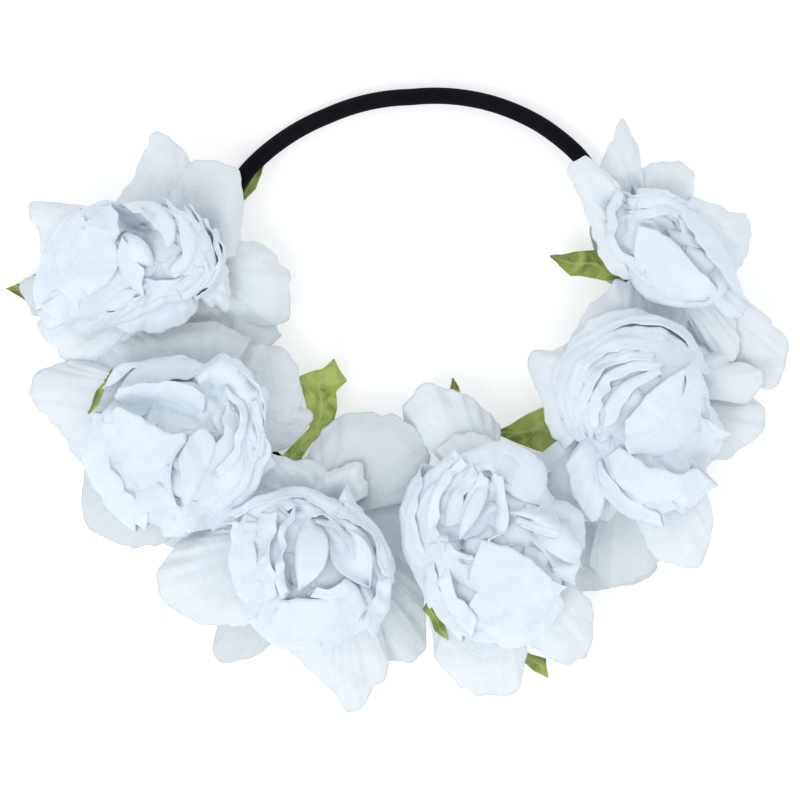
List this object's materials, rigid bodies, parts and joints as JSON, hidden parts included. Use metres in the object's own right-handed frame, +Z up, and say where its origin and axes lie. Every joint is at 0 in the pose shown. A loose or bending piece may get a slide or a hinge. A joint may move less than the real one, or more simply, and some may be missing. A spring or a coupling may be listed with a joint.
{
  "type": "flower crown",
  "caption": "Elastic hair crown with large pale ruffled roses and small leaves along its front and sides, bare round cord at the back.",
  "frame": {"origin": "centre of the elastic ring, on the surface that the crown lies on", "axes": "+Z up, the way the roses open when the crown lies flat; +Y to the bare back of the ring; +X across the crown, its longest way"},
  "size_m": [0.2774, 0.2123, 0.0588],
  "materials": {
    "elastic": "matt black covered elastic",
    "join_sleeve": "matt",
    "felt": "pressed felt",
    "floral_tape": "waxed crepe tape",
    "calyx_green": "creased fabric",
    "outer_petal_paper": "matt crepe paper",
    "petal_paper": "matt crepe paper",
    "bud_paper": "matt crepe paper",
    "leaf_fabric": "pressed veined fabric"
  },
  "bodies": {
    "band": {"elastic_band": "elastic", "band_join": "join_sleeve", "rose_1_felt_pad": "felt", "rose_2_felt_pad": "felt", "rose_3_felt_pad": "felt", "rose_4_felt_pad": "felt", "rose_5_felt_pad": "felt", "rose_6_felt_pad": "felt", "leaf_1": "leaf_fabric"},
    "rose_1": {"rose_1_band_wrap": "floral_tape", "rose_1_stem": "floral_tape", "rose_1_calyx": "calyx_green", "rose_1_outer_petals": "outer_petal_paper", "rose_1_middle_petals": "petal_paper", "rose_1_inner_petals": "petal_paper", "rose_1_bud": "bud_paper", "leaf_2": "leaf_fabric"},
    "rose_2": {"rose_2_band_wrap": "floral_tape", "rose_2_stem": "floral_tape", "rose_2_calyx": "calyx_green", "rose_2_outer_petals": "outer_petal_paper", "rose_2_middle_petals": "petal_paper", "rose_2_inner_petals": "petal_paper", "rose_2_bud": "bud_paper", "leaf_3": "leaf_fabric"},
    "rose_3": {"rose_3_band_wrap": "floral_tape", "rose_3_stem": "floral_tape", "rose_3_calyx": "calyx_green", "rose_3_outer_petals": "outer_petal_paper", "rose_3_middle_petals": "petal_paper", "rose_3_inner_petals": "petal_paper", "rose_3_bud": "bud_paper", "leaf_4": "leaf_fabric"},
    "rose_4": {"rose_4_band_wrap": "floral_tape", "rose_4_stem": "floral_tape", "rose_4_calyx": "calyx_green", "rose_4_outer_petals": "outer_petal_paper", "rose_4_middle_petals": "petal_paper", "rose_4_inner_petals": "petal_paper", "rose_4_bud": "bud_paper", "leaf_5": "leaf_fabric", "leaf_8": "leaf_fabric", "leaf_9": "leaf_fabric"},
    "rose_5": {"rose_5_band_wrap": "floral_tape", "rose_5_stem": "floral_tape", "rose_5_calyx": "calyx_green", "rose_5_outer_petals": "outer_petal_paper", "rose_5_middle_petals": "petal_paper", "rose_5_inner_petals": "petal_paper", "rose_5_bud": "bud_paper", "leaf_6": "leaf_fabric"},
    "rose_6": {"rose_6_band_wrap": "floral_tape", "rose_6_stem": "floral_tape", "rose_6_calyx": "calyx_green", "rose_6_outer_petals": "outer_petal_paper", "rose_6_middle_petals": "petal_paper", "rose_6_inner_petals": "petal_paper", "rose_6_bud": "bud_paper", "leaf_7": "leaf_fabric"}
  },
  "joints": [
    {"name": "rose_1_roll", "type": "hinge", "parent": "band", "child": "rose_1", "pos_m": [-0.07391, 0.01277, 0.0058], "axis": [-0.1702, -0.9854, 0], "range_deg": [0, 35]},
    {"name": "rose_2_roll", "type": "hinge", "parent": "band", "child": "rose_2", "pos_m": [-0.06647, -0.03475, 0.0058], "axis": [0.4633, -0.8862, 0], "range_deg": [0, 35]},
    {"name": "rose_3_roll", "type": "hinge", "parent": "band", "child": "rose_3", "pos_m": [-0.02858, -0.06934, 0.0058], "axis": [0.9245, -0.3811, 0], "range_deg": [0, 35]},
    {"name": "rose_4_roll", "type": "hinge", "parent": "band", "child": "rose_4", "pos_m": [0.02541, -0.07057, 0.0058], "axis": [0.9409, 0.3387, 0], "range_deg": [0, 35]},
    {"name": "rose_5_roll", "type": "hinge", "parent": "band", "child": "rose_5", "pos_m": [0.06841, -0.03074, 0.0058], "axis": [0.4099, 0.9121, 0], "range_deg": [0, 35]},
    {"name": "rose_6_roll", "type": "hinge", "parent": "band", "child": "rose_6", "pos_m": [0.07224, 0.02017, 0.0058], "axis": [-0.2689, 0.9632, 0], "range_deg": [0, 35]}
  ],
  "couplings": [
    {"joint": "rose_1_roll", "follows": "rose_3_roll", "ratio": 1},
    {"joint": "rose_2_roll", "follows": "rose_3_roll", "ratio": 1},
    {"joint": "rose_4_roll", "follows": "rose_3_roll", "ratio": 1},
    {"joint": "rose_5_roll", "follows": "rose_3_roll", "ratio": 1},
    {"joint": "rose_6_roll", "follows": "rose_3_roll", "ratio": 1}
  ]
}
